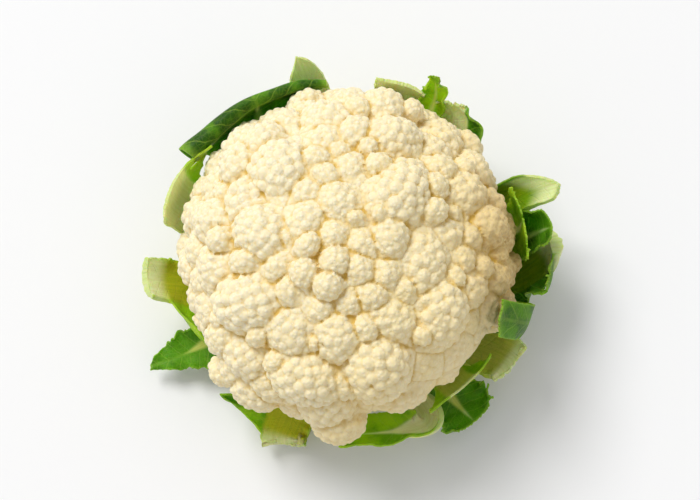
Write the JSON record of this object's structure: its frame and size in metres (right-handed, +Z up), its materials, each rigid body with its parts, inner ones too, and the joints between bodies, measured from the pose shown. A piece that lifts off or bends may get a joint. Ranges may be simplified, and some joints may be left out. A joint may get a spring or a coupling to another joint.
{
  "type": "cauliflower",
  "caption": "Trimmed cauliflower: a domed, lumpy curd on a short cut stalk, ringed by cropped leaves that cup it from below.",
  "frame": {"origin": "centre of the stalk's cut face, which the head stands on", "axes": "+Z up through the crown of the curd, +X to the right and -Y to the front of the head as pictured"},
  "size_m": [0.2016, 0.1864, 0.1148],
  "materials": {
    "curd": "matte, slightly translucent",
    "stalk": "moist cut flesh",
    "leaf": "waxy satin"
  },
  "bodies": {
    "root": {"curd": "curd", "stalk": "stalk", "leaf_right_upper": "leaf", "leaf_right_inner": "leaf", "leaf_right_folded": "leaf", "leaf_right": "leaf", "leaf_right_cheek": "leaf", "leaf_right_lower": "leaf", "leaf_front_right_inner": "leaf", "leaf_front_right": "leaf", "leaf_front": "leaf", "leaf_front_left": "leaf", "leaf_left_lower": "leaf", "leaf_left": "leaf", "leaf_left_upper": "leaf", "leaf_back_left": "leaf", "leaf_back": "leaf", "leaf_back_right": "leaf", "leaf_back_right_small": "leaf", "leaf_back_right_outer": "leaf"}
  },
  "joints": []
}
